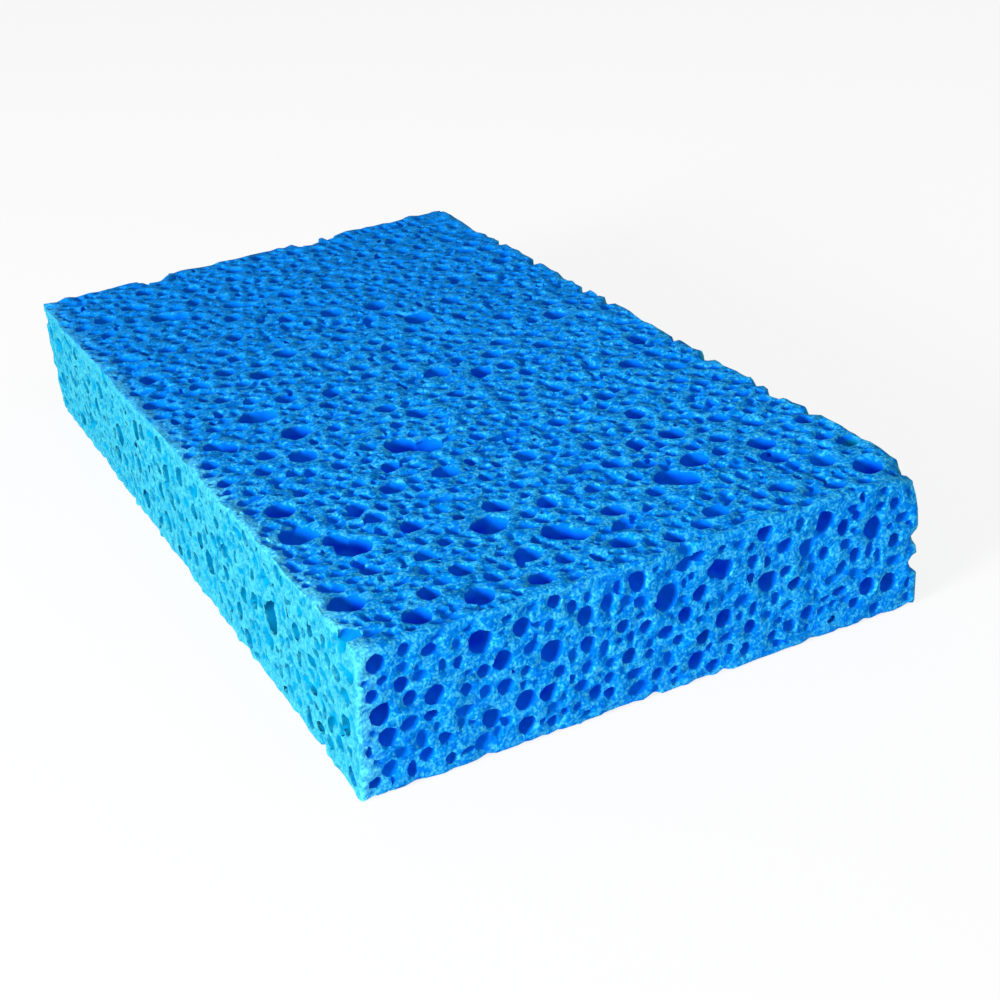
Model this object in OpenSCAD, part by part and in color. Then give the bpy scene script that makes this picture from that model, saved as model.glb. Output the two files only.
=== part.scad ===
// Dry block of open-celled cellulose sponge, cut square from a larger slab.
// The cuts open the largest cells of the foam, so every face is pitted with round pores.

/* [Block] */
// Width of the block, along X
body_w = 51; // [40:1:80]
// Length of the block, along Y
body_l = 89; // [70:1:120]
// Thickness of the block, along Z
body_h = 12.7; // [10:0.1:25]

/* [Pores] */
// How far a pore's centre lies under its face, as a share of its mouth's radius
pore_sink = 0.45; // [0.2:0.05:0.8]
// Mouth radius of the largest scattered pore
pore_max = 1.1; // [0.9:0.05:1.3]
// Mouth radius of the smallest scattered pore
pore_min = 0.45; // [0.4:0.05:0.7]
// Thinnest wall of foam between a scattered pore and its neighbours
pore_wall = 0.2; // [0.15:0.05:0.6]
// Tries at placing a scattered pore, for each square centimetre of face
pore_tries = 11; // [0:1:15]
// Picks one scatter of pores out of many
pore_seed = 11; // [1:1:99]

/* [Underside] */
// Radius of the whole patch of foam kept at the middle of the underside
pad_r = 3; // [2:0.5:6]

/* [Hidden] */
sponge_colour = [0.05, 0.52, 0.88];
sphere_sides = 24;

// How far a cell may break through a neighbouring face, at least and at most
nick_min = 0.2;
nick_max = 0.45;

// The listed pores are measured on a block of this size, and spread with the block.
listed_w = 51;
listed_l = 89;
listed_h = 12.7;

// Large pores of the top face: distance from the left face, distance from the front face,
// and radius of the mouth. Two that overlap make one oval pore.
top_pores = [
    [6, 2.5, 1.1], [11.2, 2.5, 1.2], [13.3, 4.4, 0.7], [16.3, 2.2, 1], [17.3, 6, 1.1],
    [11.8, 6.6, 1], [2.2, 6.8, 1.4], [21, 7.9, 1.3], [22.3, 6.4, 0.9], [14.3, 9.9, 0.6],
    [26.5, 8.5, 1], [26, 6, 0.9], [28.1, 1.9, 0.8], [31, 2.3, 0.8], [37.6, 4, 0.7],
    [38.6, 1.9, 0.7], [43.8, 2, 0.8], [48.2, 3.3, 1.3], [43, 9, 1.1], [43.6, 11.6, 1.2],
    [17, 12, 1.5], [18.9, 14.6, 1.1], [11.7, 15.4, 1], [12.8, 13.4, 0.5], [6.3, 14.7, 1.6],
    [5.4, 16.6, 1], [3.2, 19.2, 1.5], [22.8, 12.9, 0.9], [22.3, 17.1, 0.7], [27.2, 12.7, 0.8],
    [33.4, 10.6, 1.4], [34.4, 9.6, 1.2], [36.9, 12.2, 1.3], [34.7, 18, 0.9], [38.5, 18, 1.2],
    [43.5, 18.2, 0.9], [9.2, 20.9, 0.9], [13.3, 22.8, 1.1], [18.5, 22.8, 1.1], [25.7, 21.7, 1],
    [31.3, 20, 0.9], [38, 23.5, 1], [3.7, 24.2, 1.3], [6.6, 26.2, 0.8], [15.2, 26.6, 0.9],
    [19.6, 28.5, 1.3], [17.6, 30.1, 1.4], [7.4, 30.2, 0.7], [9.4, 33, 1.3], [6.8, 35.2, 1],
    [35.2, 33, 0.8], [43.8, 33.2, 1.1], [26.7, 37.3, 0.9], [10.8, 38.2, 1.5], [4.4, 39, 1],
    [3.4, 40, 0.9], [47.8, 38.5, 1.1], [8.6, 44, 1.2], [9.8, 43.8, 1.2], [15.7, 42, 0.9],
    [27.6, 43.2, 1.2], [31.2, 40.5, 1.1], [34, 43.6, 1], [45.3, 27.2, 0.9], [12.9, 46, 1],
    [44.5, 49.2, 1.2], [10.3, 56.4, 1], [13.2, 53.2, 1.3], [17.2, 57, 1.2], [19.9, 54.4, 0.9],
    [25, 59.5, 0.9], [32.5, 57.3, 1.5], [46, 52.7, 0.9], [25.8, 64.8, 1.2], [30.4, 63.8, 1.2],
    [7.7, 66, 0.9], [48, 67.5, 1.1], [8.2, 81, 1], [9, 80.2, 1], [10, 75.6, 1.3],
    [11.6, 74.6, 1.1], [17.8, 74.2, 1], [28.9, 72.6, 0.9], [41.3, 82.3, 1], [46.3, 73.2, 1],
    [29.2, 78.8, 1], [41.5, 69.8, 0.9]
];

// Large pores of the front face: distance from the left face, height, radius of the mouth
front_pores = [
    [10, 10.3, 1], [23.7, 10.9, 0.8], [1.8, 6.8, 0.9], [4.2, 7.4, 0.6], [2.3, 4.6, 0.8],
    [11.8, 8, 0.8], [12, 5.7, 0.7], [16, 7.4, 0.9], [18.8, 9.4, 0.8], [10.7, 3.3, 0.8],
    [5.5, 2.1, 0.6], [13.7, 1.6, 0.8], [15.6, 3.8, 0.7], [19.8, 2.2, 0.6], [22.2, 7.4, 0.6],
    [24.4, 6.8, 0.6], [26.1, 8.7, 1.1], [22.8, 4.5, 0.7], [30.6, 9.9, 0.8], [31.6, 9.5, 0.8],
    [31.5, 5, 0.8], [34.2, 3.4, 0.6], [35.8, 7, 0.9], [38.5, 6, 0.7], [39.5, 8.9, 0.7],
    [41.4, 10.8, 0.9], [39.8, 2.8, 0.6], [48.4, 7, 0.7], [46, 3.2, 0.8], [28, 6.6, 0.7],
    [1.5, 11.3, 0.85]
];

// Large pores of the left face: distance from the front face, height, radius of the mouth
left_pores = [
    [18.3, 6.5, 1.4], [12.2, 8.4, 0.7], [22.2, 6.2, 0.7], [26.5, 3.2, 0.8], [36.8, 5.5, 0.8],
    [44.5, 6.4, 1], [61.7, 6.6, 1.2], [63.9, 3.6, 0.9], [55.5, 5.9, 1], [83.2, 9.4, 1],
    [80.2, 6.6, 0.9], [73.8, 7.9, 0.9], [47.5, 2.9, 1]
];

// Cells cut open along an edge: distance along the edge, and radius
top_right_notches = [
    [1.9, 0.8], [14.5, 0.7], [19.6, 1.1], [22.4, 0.7], [30.5, 1], [36, 0.6], [48.8, 0.9], [72.8, 0.8]
];
top_back_notches = [[13.2, 1.8], [32.6, 1.7]];
front_right_notches = [[4, 0.9], [6.5, 0.7]];
front_top_notches = [[28, 0.8]];

// Turns that lay a sphere's axis along X, Y or Z
along_x = [0, -90, 0];
along_y = [90, 0, 0];
along_z = [0, 0, 0];

// A face: its corner, the direction of its first and second distance, its outward normal,
// its size along both directions, and the turn that lays an axis along its normal
top_face = [[0, 0, body_h], [1, 0, 0], [0, 1, 0], [0, 0, 1], body_w, body_l, along_z];
bottom_face = [[0, 0, 0], [1, 0, 0], [0, 1, 0], [0, 0, -1], body_w, body_l, along_z];
front_face = [[0, 0, 0], [1, 0, 0], [0, 0, 1], [0, -1, 0], body_w, body_h, along_y];
back_face = [[0, body_l, 0], [1, 0, 0], [0, 0, 1], [0, 1, 0], body_w, body_h, along_y];
left_face = [[0, 0, 0], [0, 1, 0], [0, 0, 1], [-1, 0, 0], body_l, body_h, along_x];
right_face = [[body_w, 0, 0], [0, 1, 0], [0, 0, 1], [1, 0, 0], body_l, body_h, along_x];

// A pore is the sphere [centre, radius, turn] whose round mouth of radius a opens on the face.
function pore(face, u, v, a) = [
    face[0] + u * face[1] + v * face[2] - pore_sink * a * face[3],
    a * sqrt(1 + pore_sink * pore_sink),
    face[6]
];

// The listed pores of a face, spread to its size
function listed(face, rows, rows_u, rows_v) = [
    for (p = rows) pore(face, p[0] * face[4] / rows_u, p[1] * face[5] / rows_v, p[2])
];

// Cells centred on an edge that starts at a corner
function notches(corner, along, rows, stretch, turn) =
    [for (n = rows) [corner + stretch * n[0] * along, n[1], turn]];

// Random tries at pores over a face, the largest first
function tries_on(face, seed) =
    let (
        count = ceil(pore_tries * face[4] * face[5] / 100),
        r = rands(0, 1, 2 * count + 2, seed)
    )
    [
        for (i = [0:1:count - 1])
            pore(face, r[2 * i] * face[4], r[2 * i + 1] * face[5],
                 pore_max - (pore_max - pore_min) * pow(i / count, 0.6))
    ];

// A cell is sound at a neighbouring face if it stays a wall's thickness inside, or just nicks it.
// The edges of the underside, and the lower half of the upright edges, stay whole.
function sound_at(depth, r, may_nick) =
    depth - r > pore_wall || (may_nick && depth - r < -nick_min && depth - r > -nick_max);
function sound(s) =
    let (c = s[0], r = s[1], upper = c[2] > body_h / 2)
    (s[2] == along_x || (sound_at(c[0], r, upper) && sound_at(body_w - c[0], r, upper)))
    && (s[2] == along_y || (sound_at(c[1], r, upper) && sound_at(body_l - c[1], r, upper)))
    && (s[2] == along_z || (sound_at(c[2], r, false) && sound_at(body_h - c[2], r, true)));

// The whole patch under the middle of the block carries no pore.
function off_pad(s) = norm(s[0] - [body_w / 2, body_l / 2, 0]) > pad_r + s[1];

function apart(s, placed) =
    len([for (q = placed) if (norm(s[0] - q[0]) < s[1] + q[1] + pore_wall) q]) == 0;

// Adds each try that keeps clear of all the pores placed before it.
function scattered(tries, placed, i = 0) = i == len(tries) ? placed
    : scattered(tries,
                sound(tries[i]) && off_pad(tries[i]) && apart(tries[i], placed)
                    ? concat(placed, [tries[i]]) : placed,
                i + 1);

placed_pores = concat(
    listed(top_face, top_pores, listed_w, listed_l),
    listed(front_face, front_pores, listed_w, listed_h),
    listed(left_face, left_pores, listed_l, listed_h),
    notches([body_w, 0, body_h], [0, 1, 0], top_right_notches, body_l / listed_l, along_y),
    notches([0, body_l, body_h], [1, 0, 0], top_back_notches, body_w / listed_w, along_x),
    notches([body_w, 0, 0], [0, 0, 1], front_right_notches, body_h / listed_h, along_z),
    notches([0, 0, body_h], [1, 0, 0], front_top_notches, body_w / listed_w, along_x)
);

all_pores = scattered(concat(
    tries_on(top_face, pore_seed),
    tries_on(front_face, pore_seed + 1),
    tries_on(left_face, pore_seed + 2),
    tries_on(right_face, pore_seed + 3),
    tries_on(back_face, pore_seed + 4),
    tries_on(bottom_face, pore_seed + 5)
), placed_pores);

module block() {
    cube([body_w, body_l, body_h]);
}

module open_cells() {
    for (s = all_pores)
        translate(s[0]) rotate(s[2]) sphere(r = s[1], $fn = sphere_sides);
}

module sponge() {
    color(sponge_colour)
        translate([-body_w / 2, -body_l / 2, 0])
            difference() {
                block();
                open_cells();
            }
}

sponge();
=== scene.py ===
import math

import bpy
import numpy as np
import openvdb
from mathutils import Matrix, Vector, noise


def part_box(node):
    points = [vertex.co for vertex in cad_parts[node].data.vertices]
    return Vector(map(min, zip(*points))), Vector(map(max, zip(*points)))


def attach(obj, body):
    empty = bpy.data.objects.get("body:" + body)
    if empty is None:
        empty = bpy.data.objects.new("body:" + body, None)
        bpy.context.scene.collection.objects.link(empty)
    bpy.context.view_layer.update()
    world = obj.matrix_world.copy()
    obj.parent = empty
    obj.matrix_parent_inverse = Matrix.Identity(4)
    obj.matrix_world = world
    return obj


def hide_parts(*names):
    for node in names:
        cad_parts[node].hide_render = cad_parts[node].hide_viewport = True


MM = 0.001

# Camera: where it stands, how it is turned in degrees, its lens in millimetres and its nearest and furthest
CAMERA_AT = (-0.0595, -0.1414, 0.0756)
CAMERA_TURN = (63.12, 3.98, -27.69)
CAMERA_LENS_MM = 61.0
CAMERA_CLIP = (0.01, 20)

# Lamps, each square and turned to the middle of the block: place, side of the square and power in watts
LAMPS = {
    "key": ((-0.46, -0.15, 0.14), 0.14, 4.2),
    "fill": ((0.1, -0.5, 0.5), 0.4, 0.8),
}

# Light from all around
WORLD_LIGHT = 0.4

# Floor: half its side, how far it lies under the block, its grey, and the share of plain white in it as the
# camera sees it
FLOOR_HALF = 3.0
FLOOR_DROP = 0.2 * MM
FLOOR_GREY = (0.9, 0.9, 0.9, 1)
FLOOR_WHITE = 0.85

# Foam: the size of a voxel, how far the signed distance is kept on each side of the surface, and the empty
# margin around it, in voxels
VOXEL = 0.2 * MM
BAND = 7
MARGIN = 2

# Picks one foam out of many
SEED = 5

# Cells between the CAD's pores: tries for each square centimetre, range of radii, and the foam left between
CELL_TRIES_PER_CM2 = 400
CELL_R = (0.26 * MM, 0.75 * MM)
CELL_WALL = 0.2 * MM

# Their radii run from the largest to the smallest as the tries go on, quickly at first if this is below 1
CELL_R_POWER = 0.4

# Ranges of how far they are stretched one way along the face and narrowed the other, and of how deep their
# centre lies, as a share of the radius
CELL_STRETCH = (0.7, 1.4)
CELL_SINK = (-0.1, 0.6)

# How deep the foam is tested before a cell is opened, the clearance asked for there, as a share of that
# depth, and how many places are tested around the middle
TEST_DEPTH = 3 * VOXEL
TEST_CLEAR = 0.75
TEST_PLACES = 12

# How far the random noise moves the surface, typically, and the reach of each of its blurs, in voxels
ROUGHNESS = 0.055 * MM
ROUGHNESS_BLURS = (2, 1)

# Half the side of the cube in which the foam's fullness is judged, in voxels
NEAR = 2

# Unevenness of the foam: size of its grain, and how far it moves the surface
WOBBLES = ((1.8 * MM, 0.12 * MM), (9 * MM, 0.2 * MM))

# Share of that unevenness left at the underside, where the block lies flat
FLAT_SHARE = 0.3

# How far each corner of the cut block stands from a true block's, in millimetres:
# (right, back, top) each 0 or 1
CORNER_OFFSETS = {
    (0, 0, 0): (-0.5, 0.2, 0.0),
    (1, 0, 0): (0.0, -0.1, 0.0),
    (0, 1, 0): (0.3, -0.3, 0.0),
    (1, 1, 0): (0.0, 0.0, 0.0),
    (0, 0, 1): (0.4, 0.0, 0.1),
    (1, 0, 1): (0.0, -0.1, -0.1),
    (0, 1, 1): (0.0, 0.0, 0.0),
    (1, 1, 1): (-0.4, 0.6, 0.5),
}

# The worn corner: (right, back, top) as above, how far its tip has moved in millimetres, and the reach
WORN_CORNER = (1, 0, 1)
WORN_OFFSET = (-0.4, 0.3, -0.8)
WORN_REACH = 2.2 * MM

# Rounds of tracing a point of the shifted block back to its place in the square one
TRACE_ROUNDS = 6

# Most triangles in the finished sponge, and the angle in degrees from which an edge shows sharp
MAX_TRIANGLES = 190000
SHARP_ANGLE = 50

# Width of the blend between the painted paler colours of a long side and the colours of its neighbours, in
# millimetres
SIDE_BLEND_MM = 0.3

# Shares and linear colours of the foam, from its dark grain to its light, partly its pattern and partly
# painted shade in pits and hollows and painted light on walls:
# in general, along the left edge, where a painted highlight lies, and on the long sides, painted paler as if
# lit
BLUES = ((0.2, (0.0, 0.10, 0.63)), (0.5, (0.0, 0.24, 0.72)), (0.8, (0.05, 0.49, 0.82)))
# Painted highlight: the pale rim along the left edge, where the light from the left catches it
EDGE_HIGHLIGHT_BLUES = ((0.2, (0.0, 0.25, 0.72)), (0.8, (0.14, 0.78, 0.93)))
# Painted light: the long sides are painted paler, standing in for the strong light on the side at left
PAINTED_LIT_SIDE_BLUES = ((0.18, (0.0, 0.18, 0.34)), (0.78, (0.05, 0.38, 0.46)))

# The same inside the cells, from their mouths to their bottoms, growing darker as painted shade: in general,
# and on the long sides
CELL_SHADE_BLUES = ((0.0, (0.0, 0.155, 0.74)), (1.0, (0.0, 0.05, 0.68)))
PAINTED_LIT_SIDE_CELL_BLUES = ((0.0, (0.0, 0.23, 0.42)), (1.0, (0.0, 0.15, 0.38)))

# Painted shade, a darker and duller blue at the far end where the light falls off: its colour, between which
# places along Y it comes in, and its greatest share
FAR_SHADE_BLUE = (0.0, 0.17, 0.62, 1)
FAR_Y_MM = (-30, 44)
FAR_SHADE_SHARE = 0.6

# Pale rim along the left edge, a painted highlight where the light from the left catches it: between which
# places beside that edge it fades out, in millimetres, how far the bend moves it, and its greatest share
RIM_MM = (-0.8, 1.0)
RIM_STRAY_MM = 2.4
RIM_HIGHLIGHT_SHARE = 0.7

# Noises: features per millimetre and layers of finer detail. One bends the pattern of the foam, one speckles
# it, and one varies how dark the painted shade in the cells is.
BEND_NOISE = (1.6, 3)
SPECKLE_NOISE = (4, 2)
TONE_NOISE = (0.35, 0)

# How far the bend moves the pattern, in millimetres
BEND_MM = 0.7

# Between which values of the other two noises they take effect, and the share of the painted shade that the
# palest cells keep
SPECKLE_RANGE = (0.3, 0.7)
TONE_RANGE = (0.35, 0.58)
TONE_LEAST = 0.2

# Pattern of the foam, its fine walls and its crumbs, painted light against the painted shade of the small
# cells: features per millimetre, and between which distances from a wall or a crumb's middle it fades out
WALLS = (1.1, 0.0, 0.3)
CRUMBS = (2.9, 0.12, 0.6)

# Fullness between which foam goes from thin to thick, that is from painted light to painted shade
THIN_RANGE = (0.25, 0.85)

# Shares of the crumbs in the pattern of walls, of the speckle in the grain, and of the thin places, painted
# lighter, in both
CRUMB_SHARE = 0.55
SPECKLE_SHARE = 0.35
THIN_PAINTED_LIGHT_SHARE = 0.3

# Depths in millimetres between which the inside of a cell turns smooth, to which the bend adds up to
# STRAY_MM, and between which painted shade darkens it
SMOOTH_MM = (0.42, 0.68)
STRAY_MM = 0.8
SHADE_MM = (0.25, 1.2)

# Surface of the foam: matte, with next to no sheen, and a fine relief
MATTE = 0.8
SHEEN = 0.02
RELIEF_STRENGTH = 0.45
RELIEF_DEPTH = 0.2 * MM


def mesh_arrays(obj):
    """The points and triangles of a mesh object, as numpy arrays."""
    mesh = obj.data
    mesh.calc_loop_triangles()
    points = np.empty(len(mesh.vertices) * 3, np.float32)
    mesh.vertices.foreach_get("co", points)
    tris = np.empty(len(mesh.loop_triangles) * 3, np.int32)
    mesh.loop_triangles.foreach_get("vertices", tris)
    return points.reshape(-1, 3), tris.reshape(-1, 3)


def distance_grid(obj):
    """The signed distance to the CAD solid on a regular grid, and the grid's first index."""
    points, tris = mesh_arrays(obj)
    transform = openvdb.createLinearTransform(voxelSize=VOXEL)
    grid = openvdb.FloatGrid.createLevelSetFromPolygons(
        points, triangles=tris.astype(np.uint32), transform=transform, halfWidth=BAND
    )
    low, high = grid.evalActiveVoxelBoundingBox()
    low = np.array(low) - MARGIN
    high = np.array(high) + MARGIN
    field = np.empty(tuple(high - low + 1), np.float32)
    grid.copyToArray(field, ijk=tuple(int(v) for v in low))
    return field, low


def carve(field, low, centre, radii):
    """Cuts an ellipsoid out of the foam."""
    reach = radii.max() + 2 * VOXEL
    first = np.maximum(np.floor((centre - reach) / VOXEL).astype(int) - low, 0)
    last = np.minimum(np.ceil((centre + reach) / VOXEL).astype(int) - low + 1, field.shape)
    if np.any(first >= last):
        return
    axes = [(np.arange(first[k], last[k]) + low[k]) * VOXEL - centre[k] for k in range(3)]
    x, y, z = np.meshgrid(*axes, indexing="ij", sparse=True)
    q = np.sqrt((x / radii[0]) ** 2 + (y / radii[1]) ** 2 + (z / radii[2]) ** 2)
    inside = ((1 - q) * radii.min()).astype(np.float32)
    block = field[first[0]:last[0], first[1]:last[1], first[2]:last[2]]
    np.maximum(block, inside, out=block)


def field_at(field, low, places):
    """What the grid holds at each place, from the nearest voxel."""
    index = np.rint(places / VOXEL).astype(int) - low
    index = np.clip(index, 0, np.array(field.shape) - 1)
    return field[index[:, 0], index[:, 1], index[:, 2]]


def open_small_cells(field, low, corner_low, corner_high):
    """Opens small cells over the six faces, the largest first, where there is whole foam to take them."""
    rng = np.random.default_rng(SEED)
    size = corner_high - corner_low
    turns = np.linspace(0, 2 * math.pi, TEST_PLACES, endpoint=False)
    ring = np.stack([np.cos(turns), np.sin(turns)], 1)
    clear = TEST_CLEAR * TEST_DEPTH
    for axis in (2, 1, 0):
        across = [k for k in range(3) if k != axis]
        area_cm2 = size[across[0]] * size[across[1]] * 1e4
        tries = int(area_cm2 * CELL_TRIES_PER_CM2)
        for side in (0, 1):
            for i in range(tries):
                r = CELL_R[1] - (CELL_R[1] - CELL_R[0]) * (i / tries) ** CELL_R_POWER
                mouth = corner_low + rng.random(3) * size
                mouth[axis] = corner_high[axis] if side else corner_low[axis]
                inward = -1 if side else 1
                stretch = rng.uniform(*CELL_STRETCH)
                depth = r * rng.uniform(*CELL_SINK)
                edge = np.minimum(mouth - corner_low, corner_high - mouth)[across].min()
                if edge < r * max(stretch, 1 / stretch) + CELL_WALL:
                    continue
                around = np.repeat(mouth[None], len(ring) + 1, axis=0)
                around[1:, across] += ring * max(r + CELL_WALL - clear, 0)
                around[:, axis] += inward * TEST_DEPTH
                if field_at(field, low, around).max() > -clear:
                    continue
                radii = np.full(3, r)
                radii[across[0]] *= stretch
                radii[across[1]] /= stretch
                mouth[axis] += inward * depth
                carve(field, low, mouth, radii)


def box_blur(values, reach):
    """The mean over a cube around each voxel, that many voxels to each side."""
    for axis in range(3):
        total = np.cumsum(values, axis=axis)
        ahead = np.roll(total, -reach, axis=axis)
        behind = np.roll(total, reach + 1, axis=axis)
        values = (ahead - behind) / (2 * reach + 1)
    return values


def roughen(field):
    """Eats into the foam and builds it up again by a fine random noise, so that no rim is a true circle."""
    rng = np.random.default_rng(SEED)
    grain = rng.standard_normal(field.shape).astype(np.float32)
    for reach in ROUGHNESS_BLURS:
        grain = box_blur(grain, reach)
    field += grain * (ROUGHNESS / grain[BAND:-BAND, BAND:-BAND, BAND:-BAND].std())


def fullness(field):
    """The share of foam in a small cube around each voxel: a half on a flat face, less on a thin wall,
    more in a hollow."""
    return box_blur(np.clip(0.5 - field / VOXEL, 0, 1), NEAR)


def zero_surface(field, low):
    """The points and quads of the surface where the signed distance is zero."""
    grid = openvdb.FloatGrid()
    grid.transform = openvdb.createLinearTransform(voxelSize=VOXEL)
    grid.copyFromArray(field, ijk=tuple(int(v) for v in low))
    points, quads = grid.convertToQuads(isovalue=0)
    return points.astype(np.float32), quads.astype(np.int32)


def largest_piece(points, quads):
    """Drops closed hollows and loose crumbs: only the connected surface with the most points stays."""
    label = np.arange(len(points))
    ends = np.concatenate([quads[:, [k, (k + 1) % 4]] for k in range(4)])
    while True:
        lowest = np.minimum(label[ends[:, 0]], label[ends[:, 1]])
        changed = label.copy()
        np.minimum.at(changed, ends[:, 0], lowest)
        np.minimum.at(changed, ends[:, 1], lowest)
        changed = changed[changed]
        if np.array_equal(changed, label):
            break
        label = changed
    biggest = np.bincount(label).argmax()
    keep = label == biggest
    number = np.cumsum(keep) - 1
    return points[keep], number[quads[keep[quads[:, 0]]]].astype(np.int32)


def mesh_object(name, points, quads):
    """A mesh object of those points and quads, its normals turned outwards."""
    mesh = bpy.data.meshes.new(name)
    mesh.vertices.add(len(points))
    mesh.vertices.foreach_set("co", points.ravel())
    mesh.loops.add(quads.size)
    mesh.loops.foreach_set("vertex_index", quads.ravel())
    mesh.polygons.add(len(quads))
    mesh.polygons.foreach_set("loop_start", np.arange(0, quads.size, 4, dtype=np.int32))
    mesh.update(calc_edges=True)
    mesh.flip_normals()
    obj = bpy.data.objects.new(name, mesh)
    bpy.context.scene.collection.objects.link(obj)
    return obj


def decimate(obj, triangles):
    """Collapses edges until no more than that many triangles are left."""
    modifier = obj.modifiers.new("decimate", "DECIMATE")
    modifier.use_collapse_triangulate = True
    modifier.ratio = min(1.0, triangles / (2 * len(obj.data.polygons)))
    evaluated = obj.evaluated_get(bpy.context.evaluated_depsgraph_get())
    result = bpy.data.meshes.new_from_object(evaluated)
    result.name = obj.name
    obj.modifiers.clear()
    obj.data = result


def shift(points, low, high):
    """How far each point moves: the corners by CORNER_OFFSETS with all between them in proportion, the worn
    corner further, and everything by a smooth noise at each of WOBBLES' sizes."""
    t = np.clip((points - low) / (high - low), 0, 1)
    moved = np.zeros_like(points)
    for (right, back, top), offset in CORNER_OFFSETS.items():
        share = (
            (t[:, 0] if right else 1 - t[:, 0])
            * (t[:, 1] if back else 1 - t[:, 1])
            * (t[:, 2] if top else 1 - t[:, 2])
        )
        moved += share[:, None] * np.array(offset) * MM
    tip = np.where(WORN_CORNER, high, low)
    near = np.exp(-((points - tip) ** 2).sum(axis=1) / WORN_REACH ** 2)
    moved += near[:, None] * np.array(WORN_OFFSET) * MM
    noise.seed_set(SEED)
    held = FLAT_SHARE + (1 - FLAT_SHARE) * t[:, 2:]
    for grain, amount in WOBBLES:
        moved += amount * held * np.array([noise.noise_vector(p) for p in (points / grain).tolist()])
    return moved


def square_place(points, low, high):
    """Where each point of the shifted block lay in the square one."""
    square = points
    for _ in range(TRACE_ROUNDS):
        square = points - shift(square, low, high)
    return square


def node(tree, kind, x, y, **inputs):
    """A new node at that place in the tree, with the given settings and input values."""
    n = tree.nodes.new(kind)
    n.location = (x, y)
    for key, value in inputs.items():
        if key in n.inputs:
            n.inputs[key].default_value = value
        else:
            setattr(n, key, value)
    return n


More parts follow.
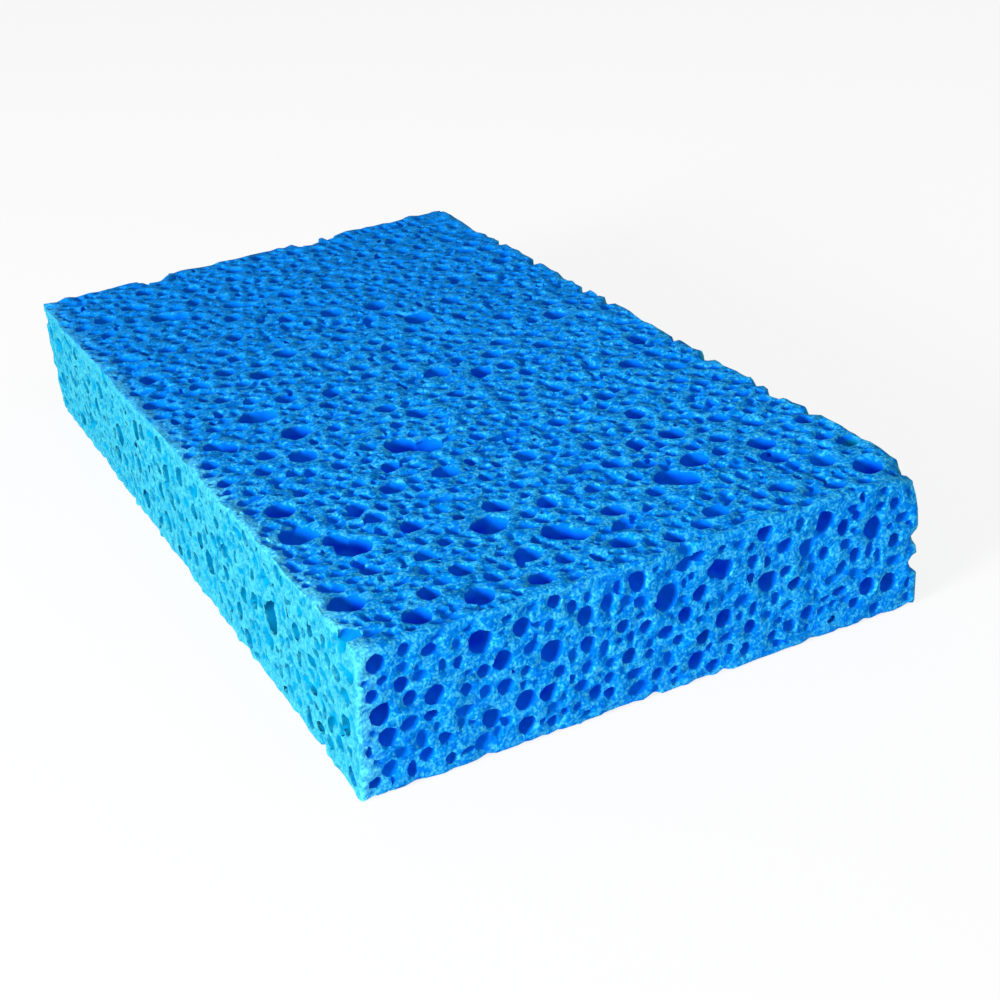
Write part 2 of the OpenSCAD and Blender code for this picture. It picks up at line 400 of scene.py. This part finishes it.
def foam_material(left):
    """Dyed cellulose foam with painted light and shade: bright grain, walls and thin places are painted
    light, cells and hollows get painted shade in a deeper blue, the far end is painted darker, the long
    sides are painted paler as if lit, and a painted highlight forms the pale rim along the edge at left,
    which is a place on X in millimetres."""
    material = bpy.data.materials.new("blue_cellulose")
    material.use_nodes = True
    tree = material.node_tree
    tree.nodes.clear()
    link = tree.links.new
    out = node(tree, "ShaderNodeOutputMaterial", 1300, 0)
    shader = node(tree, "ShaderNodeBsdfPrincipled", 1000, 0)
    shader.inputs["Roughness"].default_value = MATTE
    shader.inputs["Specular IOR Level"].default_value = SHEEN
    link(shader.outputs["BSDF"], out.inputs["Surface"])

    def attribute(name, x, y):
        return node(tree, "ShaderNodeAttribute", x, y, attribute_name=name)

    def noise_texture(x, y, scale, detail):
        n = node(tree, "ShaderNodeTexNoise", x, y, Scale=scale, Detail=detail)
        link(place.outputs["Vector"], n.inputs["Vector"])
        return n

    def multiply_add(value, factor, added, x, y):
        n = node(tree, "ShaderNodeMath", x, y, operation="MULTIPLY_ADD")
        n.inputs[1].default_value = factor
        link(value, n.inputs[0])
        link(added, n.inputs[2])
        return n.outputs[0]

    def remap(value, x, y, low, high, to_low=0.0, to_high=1.0):
        n = node(tree, "ShaderNodeMapRange", x, y, interpolation_type="SMOOTHSTEP")
        n.inputs["From Min"].default_value = low
        n.inputs["From Max"].default_value = high
        n.inputs["To Min"].default_value = to_low
        n.inputs["To Max"].default_value = to_high
        link(value, n.inputs["Value"])
        return n.outputs["Result"]

    def mix(a, b, factor, x, y, kind="FLOAT"):
        n = node(tree, "ShaderNodeMix", x, y, data_type=kind)
        offset = {"FLOAT": 2, "RGBA": 6}[kind]
        for k, value in ((0, factor), (offset, a), (offset + 1, b)):
            if isinstance(value, (int, float, tuple)):
                n.inputs[k].default_value = value
            else:
                link(value, n.inputs[k])
        return n.outputs[{"FLOAT": 0, "RGBA": 2}[kind]]

    def cells(feature, y, scale, near, far):
        n = node(tree, "ShaderNodeTexVoronoi", -1100, y, feature=feature)
        n.inputs["Scale"].default_value = scale
        link(bent.outputs[0], n.inputs["Vector"])
        return remap(n.outputs["Distance"], -900, y, near, far, 1, 0)

    def ramp(value, x, y, stops):
        n = node(tree, "ShaderNodeValToRGB", x, y)
        elements = n.color_ramp.elements
        for k, (position, colour) in enumerate(stops):
            element = elements[k] if k < 2 else elements.new(position)
            element.position = position
            element.color = (*colour, 1)
        link(value, n.inputs["Fac"])
        return n.outputs["Color"]

    # Place in the block before it was bent, in millimetres
    place = attribute("place_mm", -1700, 0)
    bend = noise_texture(-1500, -250, *BEND_NOISE)
    bent = node(tree, "ShaderNodeVectorMath", -1300, -100, operation="MULTIPLY_ADD")
    bent.inputs[1].default_value = (BEND_MM, BEND_MM, BEND_MM)
    link(bend.outputs["Color"], bent.inputs[0])
    link(place.outputs["Vector"], bent.inputs[2])

    # Grain: the walls of small cells, bright crumbs and a speckle, partly pattern and partly painted light
    # on walls and crumbs and painted shade in the small cells
    wall = cells("DISTANCE_TO_EDGE", 200, *WALLS)
    crumb = cells("F1", -100, *CRUMBS)
    wall = mix(wall, crumb, CRUMB_SHARE, -680, 60)
    speckle = noise_texture(-900, -400, *SPECKLE_NOISE)
    speckle = remap(speckle.outputs["Fac"], -680, -400, *SPECKLE_RANGE)
    grain = mix(wall, speckle, SPECKLE_SHARE, -460, 0)

    # Painted light and shade: thin walls and edges are painted brighter than the foam around a hollow, which
    # is painted darker
    full = attribute("full", -900, 1000)
    thin = remap(full.outputs["Fac"], -680, 1000, *THIN_RANGE, 1, 0)
    foam = mix(grain, thin, THIN_PAINTED_LIGHT_SHARE, -300, 300)

    # A ragged pale rim along the left edge is painted as a highlight, where the light from the left catches
    # it
    xyz = node(tree, "ShaderNodeSeparateXYZ", -900, 1300)
    link(place.outputs["Vector"], xyz.inputs["Vector"])
    ragged = multiply_add(bend.outputs["Fac"], -RIM_STRAY_MM, xyz.outputs["X"], -680, 1300)
    rim = remap(ragged, -460, 1300, left + RIM_MM[0], left + RIM_MM[1], RIM_HIGHLIGHT_SHARE, 0)

    # Cells are smooth inside, and painted shade makes them a darker blue the deeper they go, some more than
    # others
    depth = attribute("depth_mm", -900, 500)
    uneven = multiply_add(bend.outputs["Fac"], STRAY_MM, depth.outputs["Fac"], -900, 350)
    smooth = remap(uneven, -680, 500, *SMOOTH_MM)
    cell_shade = remap(depth.outputs["Fac"], -680, 600, *SHADE_MM)
    tone = noise_texture(-680, 850, *TONE_NOISE)
    tone = remap(tone.outputs["Fac"], -460, 850, *TONE_RANGE, TONE_LEAST, 1)
    cell_shade = mix(0.0, cell_shade, tone, -300, 700)

    blue = mix(ramp(foam, -100, 200, BLUES), ramp(foam, -100, -50, EDGE_HIGHLIGHT_BLUES), rim, 150, 0, "RGBA")
    blue = mix(blue, ramp(cell_shade, -100, 450, CELL_SHADE_BLUES), smooth, 300, 250, "RGBA")

    # Painted shade: the blue is darker, duller and more even towards the far end, where the light falls off
    far = remap(xyz.outputs["Y"], -680, 1500, *FAR_Y_MM, 0, FAR_SHADE_SHARE)
    blue = mix(blue, FAR_SHADE_BLUE, far, 450, 250, "RGBA")

    # Painted light: the long sides are painted paler, standing in for the strong light on the side at left
    painted_lit_cell = ramp(cell_shade, -100, -550, PAINTED_LIT_SIDE_CELL_BLUES)
    pale = mix(ramp(foam, -100, -300, PAINTED_LIT_SIDE_BLUES), painted_lit_cell, smooth, 300, -300, "RGBA")
    side = attribute("painted_lit_side", 300, 600)
    link(mix(blue, pale, side.outputs["Fac"], 600, 100, "RGBA"), shader.inputs["Base Color"])

    # The inside of a cell is smooth
    height = mix(foam, 0.5, smooth, 400, -250)
    bump = node(tree, "ShaderNodeBump", 700, -250, Strength=RELIEF_STRENGTH, Distance=RELIEF_DEPTH)
    link(height, bump.inputs["Height"])
    link(bump.outputs["Normal"], shader.inputs["Normal"])
    return material


def place_attributes(obj, points, low, high, full):
    """Stores where each point lay in the square block, in millimetres, its depth under the nearest face,
    the share by which that face is a long side, where paler colours are painted as if lit, and how full the
    foam is around it."""
    inside = np.minimum(points - low, high - points) / MM
    ends_or_flats = np.minimum(inside[:, 1], inside[:, 2])
    painted_lit_side = np.clip((ends_or_flats - inside[:, 0]) / SIDE_BLEND_MM + 0.5, 0, 1)
    for name, kind, field, values in (
        ("place_mm", "FLOAT_VECTOR", "vector", points / MM),
        ("depth_mm", "FLOAT", "value", inside.min(axis=1)),
        ("painted_lit_side", "FLOAT", "value", painted_lit_side),
        ("full", "FLOAT", "value", full),
    ):
        data = obj.data.attributes.new(name, kind, "POINT").data
        data.foreach_set(field, values.astype(np.float32).ravel())


def floor_material():
    """Pale floor that shows near white and keeps a soft shadow."""
    material = bpy.data.materials.new("pale_floor")
    material.use_nodes = True
    tree = material.node_tree
    tree.nodes.clear()
    link = tree.links.new
    out = node(tree, "ShaderNodeOutputMaterial", 600, 0)
    matte = node(tree, "ShaderNodeBsdfDiffuse", 0, 0, Color=FLOOR_GREY)
    white = node(tree, "ShaderNodeEmission", 0, -150)
    path = node(tree, "ShaderNodeLightPath", -200, 300)
    share = node(tree, "ShaderNodeMath", 0, 200, operation="MULTIPLY")
    share.inputs[1].default_value = FLOOR_WHITE
    link(path.outputs["Is Camera Ray"], share.inputs[0])
    mix = node(tree, "ShaderNodeMixShader", 300, 0)
    link(share.outputs[0], mix.inputs[0])
    link(matte.outputs[0], mix.inputs[1])
    link(white.outputs[0], mix.inputs[2])
    link(mix.outputs[0], out.inputs["Surface"])
    return material


def add_floor():
    """The floor that the block lies on."""
    mesh = bpy.data.meshes.new("floor")
    turns = ((-1, -1), (1, -1), (1, 1), (-1, 1))
    corners = [(x * FLOOR_HALF, y * FLOOR_HALF, -FLOOR_DROP) for x, y in turns]
    mesh.from_pydata(corners, [], [(0, 1, 2, 3)])
    mesh.materials.append(floor_material())
    floor = bpy.data.objects.new("floor", mesh)
    bpy.context.scene.collection.objects.link(floor)


def add_lamp(name, place, size, power):
    """A square soft lamp that faces the middle of the block."""
    data = bpy.data.lights.new(name, "AREA")
    data.shape = "SQUARE"
    data.size = size
    data.energy = power
    lamp = bpy.data.objects.new(name, data)
    lamp.location = place
    lamp.rotation_euler = (-Vector(place)).to_track_quat("-Z", "Y").to_euler()
    bpy.context.scene.collection.objects.link(lamp)


def add_world():
    """Even light from all around. The camera and reflections see a pale grey there instead."""
    world = bpy.data.worlds.new("studio")
    world.use_nodes = True
    tree = world.node_tree
    background = tree.nodes["Background"]
    background.inputs["Color"].default_value = (1, 1, 1, 1)
    background.inputs["Strength"].default_value = WORLD_LIGHT
    path = node(tree, "ShaderNodeLightPath", -400, 200)
    pale = node(tree, "ShaderNodeBackground", 0, -200)
    mix = node(tree, "ShaderNodeMixShader", 200, 0)
    seen = node(tree, "ShaderNodeMath", -200, 200, operation="MAXIMUM")
    tree.links.new(path.outputs["Is Camera Ray"], seen.inputs[0])
    tree.links.new(path.outputs["Is Glossy Ray"], seen.inputs[1])
    tree.links.new(seen.outputs[0], mix.inputs[0])
    tree.links.new(background.outputs[0], mix.inputs[1])
    tree.links.new(pale.outputs[0], mix.inputs[2])
    tree.links.new(mix.outputs[0], tree.nodes["World Output"].inputs["Surface"])
    bpy.context.scene.world = world


def add_camera():
    """The camera, which the scene then looks through."""
    data = bpy.data.cameras.new("camera")
    data.lens = CAMERA_LENS_MM
    data.clip_start, data.clip_end = CAMERA_CLIP
    camera = bpy.data.objects.new("camera", data)
    camera.location = CAMERA_AT
    camera.rotation_euler = [math.radians(a) for a in CAMERA_TURN]
    bpy.context.scene.collection.objects.link(camera)
    bpy.context.scene.camera = camera


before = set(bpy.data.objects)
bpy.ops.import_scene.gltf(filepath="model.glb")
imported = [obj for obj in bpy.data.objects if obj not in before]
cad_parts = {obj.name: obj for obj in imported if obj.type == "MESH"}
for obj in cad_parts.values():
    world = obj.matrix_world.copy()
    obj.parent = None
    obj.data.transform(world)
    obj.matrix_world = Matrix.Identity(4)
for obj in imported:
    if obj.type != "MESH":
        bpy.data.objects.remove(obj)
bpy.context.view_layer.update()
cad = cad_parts["sponge"]
corner_low, corner_high = (np.array(c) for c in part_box("sponge"))

# The CAD solid as a field, with the smaller cells and the roughness of the foam
field, low = distance_grid(cad)
open_small_cells(field, low, corner_low, corner_high)
roughen(field)
share = fullness(field)

# Its surface, out of square and uneven, but flat underneath
points, quads = largest_piece(*zero_surface(field, low))
points = points.astype(np.float64)
points += shift(points, corner_low, corner_high)
points[:, 2] = np.maximum(points[:, 2], corner_low[2])
sponge = mesh_object("cellulose_block", points.astype(np.float32), quads)
decimate(sponge, MAX_TRIANGLES)

# What the material reads at each point
points, _ = mesh_arrays(sponge)
square = square_place(points.astype(np.float64), corner_low, corner_high)
place_attributes(sponge, square, corner_low, corner_high, field_at(share, low, square))
sponge.data.shade_smooth()
sponge.data.set_sharp_from_angle(angle=math.radians(SHARP_ANGLE))
sponge.data.materials.append(foam_material(corner_low[0] / MM))

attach(sponge, "root")
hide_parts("sponge")

add_floor()
add_world()
for name, (place, size, power) in LAMPS.items():
    add_lamp(name, place, size, power)
add_camera()
bpy.context.scene.view_settings.view_transform = "Standard"
